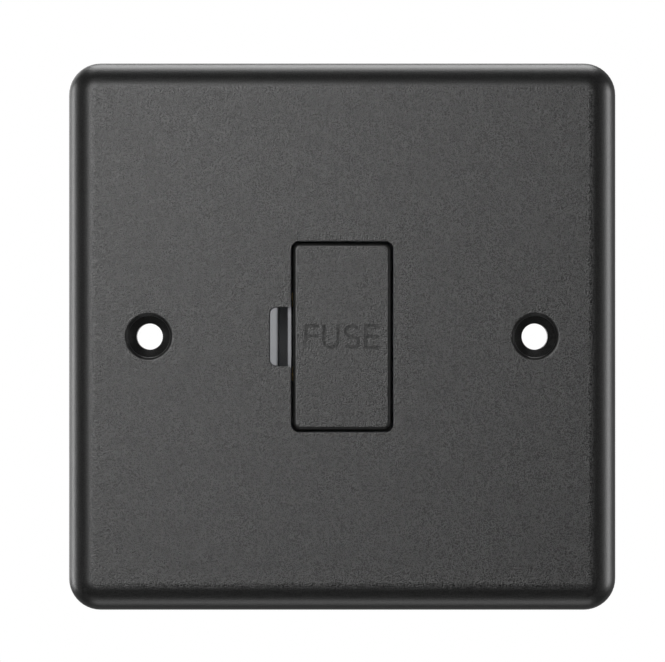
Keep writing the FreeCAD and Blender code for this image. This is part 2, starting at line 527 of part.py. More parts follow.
def make_rear_housing():
    """The rear housing: wells for the carrier, jaws, links and terminals, and holes for their screws."""
    body = new_body("rear_housing")
    pad_back(body, "block", FLANGE_BACK, HOUSING_BACK, centred_box(MOULDING_SIDE, MOULDING_TOP))
    corner = corner_at(size("moulding_width") / 2, size("moulding_height") / 2)
    dress(body, "Fillet", "block_corners", S.moulding_corner, corner)
    doc.recompute()
    back = body.Tip.Shape.BoundBox.YMax
    dress(body, "Chamfer", "rear_edge", S.housing_chamfer, lambda edge: lies_at(edge, 1, back))

    collar_side = f"({COLLAR_SIDE} + {S.collar_wall} + {S.well_gap})"
    collar_top = f"({COLLAR_TOP} + {S.collar_wall} + {S.well_gap})"
    cut_back(body, "collar_room", FLANGE_BACK, f"({COLLAR_BACK} + {S.well_gap})",
             centred_box(collar_side, collar_top))
    shell = f"({GROOVE_LEFT} + {S.groove_shell} + {S.well_gap})"
    shell_top = f"({GROOVE_TOP} + {S.groove_shell} + {S.well_gap})"
    cut_back(body, "groove_room", FLANGE_BACK, f"({GROOVE_BACK} + {S.groove_shell} + {S.well_gap})",
             box(f"-1 * {shell}", "0", f"-1 * {shell_top}", shell_top))
    well_side, well_top = f"{S.well_width} / 2", f"({LUG_TOP} + {S.lug_gap})"
    cut_back(body, "carrier_well", FLANGE_BACK, CONTACT_BACK, centred_box(well_side, well_top))
    leg_side = f"({S.leg_width} / 2 + {S.leg_gap})"
    inner = f"({LEG_INSIDE} - {S.lug_gap})"
    wells = [(f"-1 * {leg_side}", leg_side, *span(row, inner, well_top)) for row in SIDES]
    cut_back(body, "leg_wells", FLANGE_BACK, f"({LEG_BACK} + {S.leg_room})", boxes(wells))

    half = f"({S.terminal_width} / 2 + {S.terminal_gap})"
    rows = [(column, span(row, f"({ROW_INSIDE} - {S.terminal_gap})", f"({ROW_OUTSIDE} + {S.terminal_gap})"))
            for column in (-1, 0, 1) for row in SIDES]
    wells = [(f"{column} * {S.terminal_pitch} - {half}", f"{column} * {S.terminal_pitch} + {half}",
              low, high) for column, (low, high) in rows]
    cut_back(body, "terminal_wells", FLANGE_BACK, TERMINAL_BACK, boxes(wells))
    spots = [(f"{column} * {S.terminal_pitch}", f"{row} * {S.terminal_row}")
             for column in (-1, 0, 1) for row in SIDES]
    recess = f"{S.rear_recess_size} / 2"
    recesses = [(f"{x} - {recess}", f"{x} + {recess}", f"{z} - {recess}", f"{z} + {recess}")
                for x, z in spots]
    cut_back(body, "rear_recesses", f"({HOUSING_BACK} - {S.rear_recess})", HOUSING_BACK, boxes(recesses))
    cut_back(body, "screw_access", TERMINAL_BACK, HOUSING_BACK,
             circles(spots, f"{S.clamp_head} / 2 + {S.clamp_access}"))

    channel_low, channel_high = f"({LINK_LOW} - {S.link_gap})", f"({CONTACT_LOW} + {S.link_gap})"
    channel_side = f"({LINK_OUTSIDE} + {S.link_gap})"
    channels = [(f"-1 * {channel_side}", "0", *span(row, channel_low, channel_high)) for row in SIDES]
    cut_back(body, "link_channels", FLANGE_BACK, CONTACT_BACK, boxes(channels))
    inside = f"({LINK_INSIDE} - {S.link_gap})"
    uprights = [(f"-1 * {channel_side}", f"-1 * {inside}", *span(row, channel_low, ROW_INSIDE))
                for row in SIDES]
    cut_back(body, "link_uprights", FLANGE_BACK, CONTACT_BACK, boxes(uprights))
    neutral = f"({S.neutral_width} / 2 + {S.link_gap})"
    cut_back(body, "neutral_channel", FLANGE_BACK, CONTACT_BACK,
             centred_box(neutral, ROW_INSIDE, S.terminal_pitch))

    cell_left = f"({S.terminal_pitch} + {neutral} + {S.cell_wall})"
    cell_right = f"({MOULDING_SIDE} - {S.cell_wall})"
    cell_top = f"({ROW_INSIDE} - {S.terminal_gap} - {S.cell_wall})"
    rib = f"({S.cell_wall} / 2)"
    third = f"({cell_top} / 3)"
    levels = [(f"-1 * {cell_top}", f"-1 * {third} - {rib}"), (f"-1 * {third} + {rib}", f"{third} - {rib}"),
              (f"{third} + {rib}", cell_top)]
    cells = [(*span(side, cell_left, cell_right), low, high) for side in SIDES for low, high in levels]
    cut_back(body, "cells", f"({FLANGE_BACK} + {S.cell_floor})", HOUSING_BACK, boxes(cells))
    head_end = f"({FLANGE_BACK} + {S.screw_head_height} + {S.well_gap})"
    cut_back(body, "earth_screw_room", FLANGE_BACK, head_end,
             circles([(EARTH_SCREW, "0")], f"{S.screw_head} / 2 + {S.well_gap}"))

    room = f"({S.wire_bore} / 2 + {S.wire_room})"
    wires = [(f"{column} * {S.terminal_pitch} - {room}", f"{column} * {S.terminal_pitch} + {room}",
              f"{WIRE_AXIS} - {room}", f"{WIRE_AXIS} + {room}") for column in (-1, 0, 1)]
    cut_up(body, "upper_wire_channels", ROW_OUTSIDE, MOULDING_TOP, boxes(wires))
    cut_up(body, "lower_wire_channels", f"(-1 * {MOULDING_TOP})", f"(-1 * {ROW_OUTSIDE})", boxes(wires))

    cut_back(body, "assembly_holes", FLANGE_BACK, HOUSING_BACK,
             circles(ASSEMBLY_SCREWS, f"{S.screw_size} / 2 + {S.screw_gap}"))
    cut_back(body, "head_recesses", f"({HOUSING_BACK} - {S.screw_head_height} - {S.screw_gap})",
             HOUSING_BACK, circles(ASSEMBLY_SCREWS, f"{S.screw_head} / 2 + {S.screw_gap}"))
    return body


def make_carrier_cap():
    """The coated cap that shows: a shallow shell with a softly rounded front edge."""
    body = new_body("carrier_cap")
    pad_back(body, "cap", CARRIER_FRONT, CAP_BACK, centred_box(CARRIER_SIDE, CARRIER_TOP))
    side = size("opening_width") / 2 - size("collar_step") - size("carrier_gap")
    top = size("opening_height") / 2 - size("collar_step") - size("carrier_gap")
    dress(body, "Fillet", "cap_corners", S.carrier_corner, corner_at(side, top))
    front = -size("plate_depth") - size("carrier_proud")
    dress(body, "Fillet", "cap_edge", S.cap_rounding, lambda edge: lies_at(edge, 1, front))
    inside = [f"({half} - {S.cap_wall})" for half in (CARRIER_SIDE, CARRIER_TOP)]
    cut_back(body, "cap_hollow", f"({CARRIER_FRONT} + {S.cap_wall})", CAP_BACK, centred_box(*inside))
    return body


def make_fuse_carrier():
    """The grey carrier: base and core, two legs with stop lugs, and the cradle on its stem."""
    body = new_body("fuse_carrier")
    pad_back(body, "base", CAP_BACK, BASE_BACK, centred_box(CARRIER_SIDE, CARRIER_TOP))
    side = size("opening_width") / 2 - size("collar_step") - size("carrier_gap")
    top = size("opening_height") / 2 - size("collar_step") - size("carrier_gap")
    dress(body, "Fillet", "base_corners", S.carrier_corner, corner_at(side, top))
    inside = [f"({half} - {S.cap_wall} - {S.cap_gap})" for half in (CARRIER_SIDE, CARRIER_TOP)]
    pad_back(body, "core", f"({CARRIER_FRONT} + {S.cap_wall})", CAP_BACK, centred_box(*inside))

    hollow_side = f"({CARRIER_SIDE} - {S.cap_wall} - {S.cap_gap} - {S.core_wall})"
    hollow_low = f"({CRADLE_TOP} + {S.core_wall} / 2)"
    hollow_high = f"({CARRIER_TOP} - {S.cap_wall} - {S.cap_gap} - {S.core_wall})"
    hollows = [(f"-1 * {hollow_side}", hollow_side, *span(row, hollow_low, hollow_high)) for row in SIDES]
    cut_back(body, "core_hollows", f"({CARRIER_FRONT} + {S.cap_wall} + {S.core_wall})", BASE_BACK,
             boxes(hollows))
    leg_side = f"({S.leg_width} / 2)"
    legs = [(f"-1 * {leg_side}", leg_side, *span(row, LEG_INSIDE, CARRIER_TOP)) for row in SIDES]
    pad_back(body, "legs", BASE_BACK, LEG_BACK, boxes(legs))
    lug_side = f"({S.lug_width} / 2)"
    lugs = [(f"-1 * {lug_side}", lug_side, *span(row, CARRIER_TOP, LUG_TOP)) for row in SIDES]
    pad_back(body, "lugs", LUG_FRONT, LEG_BACK, boxes(lugs))
    doc.recompute()
    leg_end = body.Tip.Shape.BoundBox.YMax
    lug_top = top + size("lug_height")

    def on_lug(edge):
        return lies_at(edge, 1, leg_end) and abs(abs(edge.BoundBox.Center.z) - lug_top) < 1e-4
    dress(body, "Chamfer", "lug_lead_in", S.lug_slope, on_lug)

    pad_back(body, "stem", BASE_BACK, S.fuse_depth, centred_box(f"({S.stem_width} / 2)", CRADLE_TOP))
    low = f"(-1 * {CRADLE_TOP})"
    pad_up(body, "cradle", low, CRADLE_TOP, circles([("0", S.fuse_depth)], CRADLE_OUTSIDE))
    cut_up(body, "cradle_bore", low, CRADLE_TOP, circles([("0", S.fuse_depth)], CRADLE_INSIDE))
    mouth = f"{S.cradle_mouth} / 2"
    cut_up(body, "cradle_mouth", low, CRADLE_TOP,
           box("0", f"2 * {CRADLE_OUTSIDE}", f"{S.fuse_depth} - {mouth}", f"{S.fuse_depth} + {mouth}"))
    ledge = f"({S.window_height} / 2 + {S.pry_gap})"
    cut_back(body, "pry_ledge", f"({BRIDGE_BACK} + {S.pry_gap})", BASE_BACK,
             box(f"-1 * {CARRIER_SIDE}", f"{S.pry_depth} - {CARRIER_SIDE}", f"-1 * {ledge}", ledge))
    return body


def primitive(kind, name, place, **formulas):
    """A Part primitive whose sizes and place are formulas."""
    item = doc.addObject(f"Part::{kind}", name)
    for prop, formula in formulas.items():
        item.setExpression(prop, formula)
    for axis, formula in zip("xyz", place):
        item.setExpression(f"Placement.Base.{axis}", formula)
    return item


def cut_part(label, base, tool):
    """The base with the tool cut out of it."""
    cut = doc.addObject("Part::Cut", label)
    cut.Base = base
    cut.Tool = tool
    cut.Label = label
    return cut


def make_fuse():
    """The cartridge fuse: a ceramic tube, its wire, and a cap on each end."""
    length = f"(2 * ({FUSE_TOP} - {S.fuse_cap_end}))"
    low = f"-1 * {length} / 2"
    place = ("0", S.fuse_depth, low)
    tube = primitive("Cylinder", "tube_outside", place, Radius=f"{FUSE_TUBE} / 2", Height=length)
    bore = primitive("Cylinder", "tube_bore", place, Radius=f"{S.fuse_bore} / 2", Height=length)
    wire = primitive("Cylinder", "fuse_element", place, Radius=f"{S.fuse_wire} / 2", Height=length)
    caps = []
    ends = {"fuse_cap_upper": (f"{FUSE_TOP} - {S.fuse_cap_length}", 0),
            "fuse_cap_lower": (f"-1 * {FUSE_TOP}", 1)}
    for label, (bottom, lower) in ends.items():
        outside = primitive("Cylinder", label + "_outside", ("0", S.fuse_depth, bottom),
                            Radius=f"{S.fuse_size} / 2", Height=S.fuse_cap_length)
        depth = f"{S.fuse_cap_length} - {S.fuse_cap_end}"
        start = f"{bottom} + {lower} * {S.fuse_cap_end}"
        inside = primitive("Cylinder", label + "_inside", ("0", S.fuse_depth, start),
                           Radius=f"{FUSE_TUBE} / 2", Height=depth)
        caps.append(cut_part(label, outside, inside))
    return [cut_part("fuse_tube", tube, bore), wire, *caps]


def make_contact(label, row):
    """A sprung jaw for one fuse cap, with the flat link that runs on to its live terminal."""
    body = new_body(label)
    tip = f"({S.fuse_depth} - {S.contact_lead} - {S.contact_flare_depth})"
    knee = f"({S.fuse_depth} - {S.contact_lead})"
    inside = [(f"({LEAF_INSIDE} + {S.contact_flare})", tip), (LEAF_INSIDE, knee),
              (LEAF_INSIDE, CONTACT_FRONT)]
    outside = [(LEAF_OUTSIDE, CONTACT_BACK), (LEAF_OUTSIDE, knee),
               (f"({LEAF_OUTSIDE} + {S.contact_flare})", tip)]
    right = outside + inside
    left = [(f"-1 * {x}", y) for x, y in right[::-1]]
    low, high = span(row, CONTACT_LOW, CONTACT_TOP)
    pad_up(body, "jaw", f"({low})", f"({high})", lambda sketch: draw_polygon(sketch, right + left))
    doc.recompute()
    leaf = size("fuse_size") / 2 + size("contact_gap")
    base = body.Tip.Shape.BoundBox.YMax
    thickness = size("contact_thickness")

    def on_inner(edge):
        centre = edge.BoundBox.Center
        beside = abs(abs(centre.x) - leaf) < 1e-4 and abs(centre.y - base + thickness) < 1e-4
        return runs_along(edge, 2) and beside

    def on_outer(edge):
        centre = edge.BoundBox.Center
        beside = abs(abs(centre.x) - leaf - thickness) < 1e-4 and abs(centre.y - base) < 1e-4
        return runs_along(edge, 2) and beside
    dress(body, "Fillet", "inner_bends", S.contact_bend, on_inner)
    dress(body, "Fillet", "outer_bends", f"{S.contact_bend} + {S.contact_thickness}", on_outer)
    width = f"({LEAF_OUTSIDE} - {S.contact_bend} - {S.contact_thickness})"
    outline = [(width, LINK_LOW), (width, CONTACT_LOW), (f"-1 * {LINK_INSIDE}", CONTACT_LOW),
               (f"-1 * {LINK_INSIDE}", ROW_INSIDE), (f"-1 * {LINK_OUTSIDE}", ROW_INSIDE),
               (f"-1 * {LINK_OUTSIDE}", LINK_LOW)]
    outline = [(x, f"{row} * {z}") for x, z in outline]
    pad_back(body, "link", CONTACT_FRONT, CONTACT_BACK, lambda sketch: draw_polygon(sketch, outline))
    return body


def make_terminal(label, column, row):
    """A pillar terminal: a brass block with a wire hole along Z and a screw hole from the rear."""
    body = new_body(label)
    x, z = f"({column} * {S.terminal_pitch})", f"({row} * {S.terminal_row})"
    half, tall = f"({S.terminal_width} / 2)", f"({S.terminal_height} / 2)"
    pad_back(body, "block", TERMINAL_FRONT, TERMINAL_BACK, centred_box(half, tall, x, z))
    dress(body, "Chamfer", "block_edges", S.terminal_chamfer, lambda edge: runs_along(edge, 1))
    cut_up(body, "wire_hole", f"({z} - {tall})", f"({z} + {tall})",
           circles([(x, WIRE_AXIS)], f"{S.wire_bore} / 2"))
    cut_back(body, "screw_hole", WIRE_AXIS, TERMINAL_BACK,
             circles([(x, z)], f"{S.clamp_size} / 2 + {S.thread_gap}"))
    return body


def screw_shape(label, spots, tip, seat, top, shank, head):
    """Slotted screws along Y, with the tip in front and the head behind, in one body."""
    body = new_body(label)
    pad_back(body, "shank", tip, seat, circles(spots, f"{shank} / 2"))
    pad_back(body, "head", seat, top, circles(spots, f"{head} / 2"))
    half, reach = f"{S.slot_width} / 2", f"{head} / 2"
    slots = [(f"{x} - {reach}", f"{x} + {reach}", f"{z} - {half}", f"{z} + {half}") for x, z in spots]
    cut_back(body, "slot", f"({top} - {S.slot_depth})", top, boxes(slots))
    return body


def make_terminal_screw(label, column, row):
    """A terminal screw at its open stop: it moves towards the front to clamp the wire."""
    x, z = f"({column} * {S.terminal_pitch})", f"({row} * {S.terminal_row})"
    tip = f"({WIRE_AXIS} + {S.wire_bore} / 2 + {S.clamp_start})"
    seat = f"({TERMINAL_BACK} + {S.clamp_travel} + {S.clamp_head_gap})"
    top = f"({seat} + {S.clamp_head_height})"
    return screw_shape(label, [(x, z)], tip, seat, top, S.clamp_size, S.clamp_head)


def make_neutral_link():
    """A flat strip that joins the two neutral terminals."""
    body = new_body("neutral_link")
    pad_back(body, "strip", CONTACT_FRONT, CONTACT_BACK,
             centred_box(f"({S.neutral_width} / 2)", ROW_INSIDE, S.terminal_pitch))
    return body


def make_earth_strap():
    """The strap that joins the earth terminals to the plate, with a leg down to each terminal."""
    body = new_body("earth_strap")
    pad_back(body, "strip", STRAP_FRONT, FLANGE_BACK, draw_strap("0"))
    cut_back(body, "screw_hole", STRAP_FRONT, FLANGE_BACK,
             circles([(EARTH_SCREW, "0")], f"{S.screw_size} / 2 + {S.screw_gap}"))
    side, half = f"({S.strap_leg} / 2)", f"({S.strap_thickness} / 2)"
    legs = [(f"-1 * {side}", side, f"{row} * {S.terminal_row} - {half}",
             f"{row} * {S.terminal_row} + {half}") for row in SIDES]
    pad_back(body, "legs", FLANGE_BACK, TERMINAL_FRONT, boxes(legs))
    return body


def make_screws():
    """The two assembly screws, from the rear into the plate, and the earth screw on the strap."""
    seat = f"({HOUSING_BACK} - {S.screw_head_height} - {S.screw_gap})"
    top = f"({seat} + {S.screw_head_height})"
    earth_top = f"({FLANGE_BACK} + {S.screw_head_height})"
    return [
        screw_shape("assembly_screws", ASSEMBLY_SCREWS, SCREW_TIP, seat, top, S.screw_size, S.screw_head),
        screw_shape("earth_screw", [(EARTH_SCREW, "0")], SCREW_TIP, FLANGE_BACK, earth_top,
                    S.screw_size, S.screw_head),
    ]


TERMINALS = {
    "live_load": (-1, 1), "earth_upper": (0, 1), "neutral_load": (1, 1),
    "live_supply": (-1, -1), "earth_lower": (0, -1), "neutral_supply": (1, -1),
}

pieces = [make_front_plate(), make_front_moulding(), make_rear_housing()]
pieces += [make_carrier_cap(), make_fuse_carrier(), *make_fuse()]
pieces += [make_contact("fuse_contact_load", 1), make_contact("fuse_contact_supply", -1)]
for name, (column, row) in TERMINALS.items():
    pieces.append(make_terminal(name + "_terminal", column, row))
    pieces.append(make_terminal_screw(name + "_screw", column, row))
pieces += [make_neutral_link(), make_earth_strap(), *make_screws()]
doc.recompute()

# Every object must have computed, every cut must remove something, and every piece must be sound.
for item in doc.Objects:
    if "Invalid" in item.State or "Error" in item.State:
        raise RuntimeError(f"{item.Label} failed: {item.State}")
for feature in cut_features:
    if feature.Shape.Volume >= feature.BaseFeature.Shape.Volume - 1e-6:
        raise RuntimeError(f"{feature.Label} cuts nothing")
for piece in pieces:
    shape = piece.Shape
    if shape.isNull() or not shape.isValid():
        raise RuntimeError(f"{piece.Label} has no valid shape")
    shape.exportStep(f"parts/{piece.Label}.step")
    print(f"{piece.Label:24s} {len(shape.Solids)} solid(s) {shape.Volume:10.2f} mm3")
print(f"{len(pieces)} pieces")
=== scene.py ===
# %% [markdown]
# A fused spur unit: a square metal front plate with a fine grained dark coat, a small carrier
# that pulls out with its fuse, and a grey moulding behind it that holds the terminals.
# The solid model already gives each piece its real size and place, so this script leaves those
# pieces where they are. It adds their finishes, the word on the carrier, the light and the camera.

# %% Load the solid model as a fixed frame
import math

import bpy
import numpy as np
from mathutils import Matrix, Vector


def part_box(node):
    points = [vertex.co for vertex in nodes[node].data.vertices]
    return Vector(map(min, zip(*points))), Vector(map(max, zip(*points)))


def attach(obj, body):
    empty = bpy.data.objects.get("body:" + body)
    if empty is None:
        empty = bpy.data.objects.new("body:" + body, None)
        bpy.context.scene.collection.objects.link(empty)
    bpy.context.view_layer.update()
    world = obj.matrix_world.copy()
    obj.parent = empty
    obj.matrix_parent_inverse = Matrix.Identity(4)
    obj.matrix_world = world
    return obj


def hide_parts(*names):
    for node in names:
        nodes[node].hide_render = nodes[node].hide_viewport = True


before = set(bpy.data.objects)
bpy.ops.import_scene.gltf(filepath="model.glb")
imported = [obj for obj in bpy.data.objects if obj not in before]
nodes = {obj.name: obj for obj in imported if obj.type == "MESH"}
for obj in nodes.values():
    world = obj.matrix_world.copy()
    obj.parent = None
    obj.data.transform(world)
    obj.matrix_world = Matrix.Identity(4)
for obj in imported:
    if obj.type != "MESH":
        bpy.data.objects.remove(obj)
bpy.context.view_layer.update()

MM = 0.001
print("pieces:", len(nodes))

# %% [markdown]
# The camera comes first, because all the rest is judged through it. It stands straight in front
# of the plate and looks along Y, so the plate's edges stay parallel. The plate isn't quite in the
# middle of the picture. A small shift of the lens moves it there and leaves the view straight.

# %% Camera
FRAME_WIDTH, FRAME_HEIGHT = 665, 662
PLATE_CENTRE_PX = (342.2, 336.63)
PLATE_WIDTH_PX = 545.9
CAMERA_DISTANCE = 430 * MM
SENSOR = 36.0
EDGE_DEPTH = 4.5 * MM

scene = bpy.context.scene
plate_low, plate_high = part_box("front_plate")
# The plate is widest where its rounded edge ends, so its outline in the picture lies there.
outline_y = plate_low.y + EDGE_DEPTH
pixel = (plate_high.x - plate_low.x) / PLATE_WIDTH_PX
lens = bpy.data.cameras.new("camera")
camera = bpy.data.objects.new("camera", lens)
scene.collection.objects.link(camera)
scene.camera = camera
camera.location = (0, outline_y - CAMERA_DISTANCE, 0)
camera.rotation_euler = (math.pi / 2, 0, 0)
lens.sensor_width = SENSOR
lens.lens = SENSOR * CAMERA_DISTANCE / (FRAME_WIDTH * pixel)
bpy.context.view_layer.update()


def to_pixel(point):
    """Where a point falls in the picture, in pixels from its top left corner.

    The point in the camera's own axes is divided by its depth and scaled by the lens. The shift
    then moves it by that share of the picture's long side.
    """
    local = camera.matrix_world.inverted() @ Vector(point)
    scale = lens.lens / SENSOR * FRAME_WIDTH / -local.z
    across = FRAME_WIDTH / 2 + local.x * scale - lens.shift_x * FRAME_WIDTH
    down = FRAME_HEIGHT / 2 - local.y * scale + lens.shift_y * FRAME_WIDTH
    return across, down


across, down = to_pixel((0, outline_y, 0))
lens.shift_x = (across - PLATE_CENTRE_PX[0]) / FRAME_WIDTH
lens.shift_y = (PLATE_CENTRE_PX[1] - down) / FRAME_WIDTH
print("lens:", round(lens.lens, 1), "mm, shift:", round(lens.shift_x, 3), round(lens.shift_y, 3))
print("left and right edges at:", [round(to_pixel((x, outline_y, 0))[0], 1)
                                   for x in (plate_low.x, plate_high.x)], "px")

# %% [markdown]
# A finish is a small network of nodes round one shader. Each network here reads Object
# coordinates, which are metres, so a noise of scale 5000 has grains a fifth of a millimetre
# wide, and they stay on a piece when it moves. These helpers make the steps that all share.

# %% Helpers for finishes
# Most of a noise lies between these two values.
NOISE_LOW, NOISE_HIGH = 0.3, 0.7
# How many finer noises lie over the first one.
SANDY, TEXTURED, CLOUDY = 1.0, 2.0, 3.0


def new_finish(name):
    """An empty finish: its material, its network, its shader and its Object coordinates."""
    material = bpy.data.materials.new(name)
    material.use_nodes = True
    tree = material.node_tree
    place = tree.nodes.new("ShaderNodeTexCoord").outputs["Object"]
    return material, tree, tree.nodes["Principled BSDF"], place


def stretch(tree, place, factors):
    """Coordinates multiplied axis by axis, which draws a noise out into streaks."""
    node = tree.nodes.new("ShaderNodeMapping")
    node.inputs["Scale"].default_value = factors
    tree.links.new(place, node.inputs["Vector"])
    return node.outputs["Vector"]


def grains(tree, place, per_metre, detail=SANDY):
    """A noise with about so many grains to the metre."""
    node = tree.nodes.new("ShaderNodeTexNoise")
    node.inputs["Scale"].default_value = per_metre
    node.inputs["Detail"].default_value = detail
    tree.links.new(place, node.inputs["Vector"])
    return node.outputs["Fac"]


def ranged(tree, value, low, high, start=NOISE_LOW, end=NOISE_HIGH):
    """The value moved in a straight line from start-end to low-high, and held there."""
    node = tree.nodes.new("ShaderNodeMapRange")
    numbers = {"From Min": start, "From Max": end, "To Min": low, "To Max": high}
    for socket, number in numbers.items():
        node.inputs[socket].default_value = number
    tree.links.new(value, node.inputs["Value"])
    return node.outputs["Result"]


def combine(tree, operation, first, second):
    """One number from two, as the operation says."""
    node = tree.nodes.new("ShaderNodeMath")
    node.operation = operation
    tree.links.new(first, node.inputs[0])
    tree.links.new(second, node.inputs[1])
    return node.outputs[0]


def between(tree, value, first, second):
    """A colour on the way from the first to the second, as the value goes from 0 to 1.

    Each of the two is three numbers or the result of an earlier step.
    """
    node = tree.nodes.new("ShaderNodeMix")
    node.data_type = "RGBA"
    for socket, colour in ((node.inputs["A"], first), (node.inputs["B"], second)):
        if isinstance(colour, bpy.types.NodeSocket):
            tree.links.new(colour, socket)
        else:
            socket.default_value = (*colour, 1)
    tree.links.new(value, node.inputs["Factor"])
    return node.outputs["Result"]


def raised(tree, shader, value, height):
    """A relief whose height in metres follows the value. It bends the shader's light only."""
    node = tree.nodes.new("ShaderNodeBump")
    node.inputs["Distance"].default_value = height
    tree.links.new(value, node.inputs["Height"])
    tree.links.new(node.outputs["Normal"], shader.inputs["Normal"])
    return node


# %% [markdown]
# The plate and the carrier's cap carry a sprayed dark coat with a texture like very fine sand.
# Its paint is nearly black, and most of the grey that one sees is the soft shine of the room on
# it. So the colour is dark, the shine has its usual strength, and the sand is a relief with a
# speckle of the same grain in the colour. Wet paint draws thin over an edge, so the relief is
# strong only where the surface faces straight to the front or the back. On an edge a higher
# roughness stands for the grain, and the speckle is weaker, which darkens the colour there:
# painted shade on the rounded edges, the lips of the holes and every other slope.

# %% The dark grained coat
COAT_GRAINS = 5590
COAT_DARK, COAT_LIGHT = (0.001, 0.001, 0.001), (0.034, 0.034, 0.0336)
COAT_ROUGHNESS, COAT_SHINE = 0.24, 0.48
LETTER_ROUGHNESS, LETTER_SHINE = 0.34, 0.30
COAT_RELIEF = 0.084 * MM
# The colour goes from dark to light as the sand's noise goes from the first to the second.
SPECKLE_START, SPECKLE_FULL = 0.43, 0.57
# The relief's share, the roughness and the speckle's share on edges, and how squarely a face must
# look along Y for the change from an edge to begin and to end. The smaller speckle on edges is
# painted shade.
EDGE_RELIEF, EDGE_ROUGHNESS = 0.15, 0.38
EDGE_SPECKLE_PAINTED_SHADE = 0.35
SQUARE_START, SQUARE_FULL = 0.97, 0.9998


def make_coat(name, roughness, shine):
    """Sand grains: a sharp speckle from nearly black to dark grey, over a relief of the same.

    Both are weaker on edges, where the piece's own normal looks less squarely along Y. The
    weaker speckle darkens the edges' colour as painted shade.
    """
    material, tree, shader, place = new_finish(name)
    facing = tree.nodes.new("ShaderNodeSeparateXYZ")
    tree.links.new(place.node.outputs["Normal"], facing.inputs[0])
    square = tree.nodes.new("ShaderNodeMath")
    square.operation = "ABSOLUTE"
    tree.links.new(facing.outputs["Y"], square.inputs[0])

    def from_edge(on_edge, on_flat):
        """A number that goes from its value on edges to its value on flat faces."""
        return ranged(tree, square.outputs[0], on_edge, on_flat, SQUARE_START, SQUARE_FULL)

    sand = grains(tree, place, COAT_GRAINS)
    # The speckle is weaker on edges, which darkens their colour: painted shade.
    speckle = combine(tree, "MULTIPLY", ranged(tree, sand, 0, 1, SPECKLE_START, SPECKLE_FULL),
                      from_edge(EDGE_SPECKLE_PAINTED_SHADE, 1))
    tree.links.new(between(tree, speckle, COAT_DARK, COAT_LIGHT), shader.inputs["Base Color"])
    shader.inputs["Specular IOR Level"].default_value = shine
    tree.links.new(from_edge(EDGE_ROUGHNESS, roughness), shader.inputs["Roughness"])
    relief = raised(tree, shader, sand, COAT_RELIEF)
    tree.links.new(from_edge(EDGE_RELIEF, 1), relief.inputs["Strength"])
    return material


coat = make_coat("grained_coat", COAT_ROUGHNESS, COAT_SHINE)
letter_coat = make_coat("duller_coat_in_letters", LETTER_ROUGHNESS, LETTER_SHINE)
print("coat: grains of", round(1 / COAT_GRAINS / MM, 2), "mm")

# %% [markdown]
# The grey pieces behind are moulded plastic. The steel mould was spark-eroded, which leaves a
# satin surface with a barely visible texture and slightly cloudy colour.

# %% Grey moulded plastic
PLASTIC_DARK, PLASTIC_LIGHT = (0.188, 0.192, 0.204), (0.208, 0.212, 0.225)
PLASTIC_CLOUDS, PLASTIC_TEXTURE = 180, 3600
PLASTIC_SMOOTH, PLASTIC_ROUGH = 0.42, 0.54
PLASTIC_RELIEF = 0.006 * MM


def make_plastic():
    """Broad faint clouds in the colour, and a fine matt texture in the shine and the relief."""
    material, tree, shader, place = new_finish("grey_moulded_plastic")
    clouds = ranged(tree, grains(tree, place, PLASTIC_CLOUDS, CLOUDY), 0, 1)
    texture = grains(tree, place, PLASTIC_TEXTURE, TEXTURED)
    tree.links.new(between(tree, clouds, PLASTIC_DARK, PLASTIC_LIGHT), shader.inputs["Base Color"])
    tree.links.new(ranged(tree, texture, PLASTIC_SMOOTH, PLASTIC_ROUGH), shader.inputs["Roughness"])
    raised(tree, shader, texture, PLASTIC_RELIEF)
    return material


plastic = make_plastic()
print("plastic:", plastic.name)

# %% [markdown]
# The terminals and the sprung contacts are brass, the screws and the earth strap are steel with
# a thin zinc plating, and the fuse caps are drawn and nickel plated. All of them shine as bare
# metal does, so the shader's Metallic is one, and they differ in colour and in tool marks:
# fine streaks along the axis in which each was sawn, drawn or rolled.

# %% Metals
TOOL_MARKS, TARNISH = 2600, 260
STREAK = 0.04
MARK_RELIEF = 0.004 * MM


def make_metal(name, dark, light, smooth, rough, along):
    """Tool marks along one axis: a noise that is drawn out 25 times in that direction."""
    material, tree, shader, place = new_finish(name)
    factors = [STREAK if axis == along else 1.0 for axis in "xyz"]
    streaks = grains(tree, stretch(tree, place, factors), TOOL_MARKS, TEXTURED)
    tarnish = ranged(tree, grains(tree, place, TARNISH, CLOUDY), 0, 1)
    tree.links.new(between(tree, tarnish, dark, light), shader.inputs["Base Color"])
    shader.inputs["Metallic"].default_value = 1.0
    tree.links.new(ranged(tree, streaks, smooth, rough), shader.inputs["Roughness"])
    raised(tree, shader, streaks, MARK_RELIEF)
    return material


# Each has its darkest and lightest colour, its least and greatest roughness and its marks' axis.
brass = make_metal("sawn_brass", (0.58, 0.40, 0.17), (0.78, 0.58, 0.28), 0.24, 0.42, "z")
contact_brass = make_metal("rolled_brass", (0.58, 0.41, 0.18), (0.74, 0.56, 0.28), 0.34, 0.52, "y")
zinc = make_metal("zinc_plated_steel", (0.46, 0.46, 0.45), (0.62, 0.62, 0.60), 0.30, 0.48, "x")
nickel = make_metal("nickel_plated_cap", (0.58, 0.56, 0.51), (0.72, 0.70, 0.65), 0.22, 0.38, "z")
print("metals:", [metal.name for metal in (brass, contact_brass, zinc, nickel)])

# %% [markdown]
# The body of the fuse is a ceramic tube. It isn't glazed, so it is dull and slightly grainy, off
# white with a few darker specks from the clay.

# %% Ceramic
CLAY, FIRED, SPECK = (0.70, 0.67, 0.60), (0.80, 0.78, 0.72), (0.46, 0.41, 0.34)
CERAMIC_CLOUDS, CERAMIC_SPECKS, CERAMIC_GRAINS = 700, 2400, 5000
# A speck begins and is full where its noise reaches these values, and hides this share of the body.
SPECK_START, SPECK_FULL, SPECK_SHARE = 0.66, 0.72, 0.7
CERAMIC_SMOOTH, CERAMIC_ROUGH = 0.55, 0.72
CERAMIC_RELIEF = 0.008 * MM


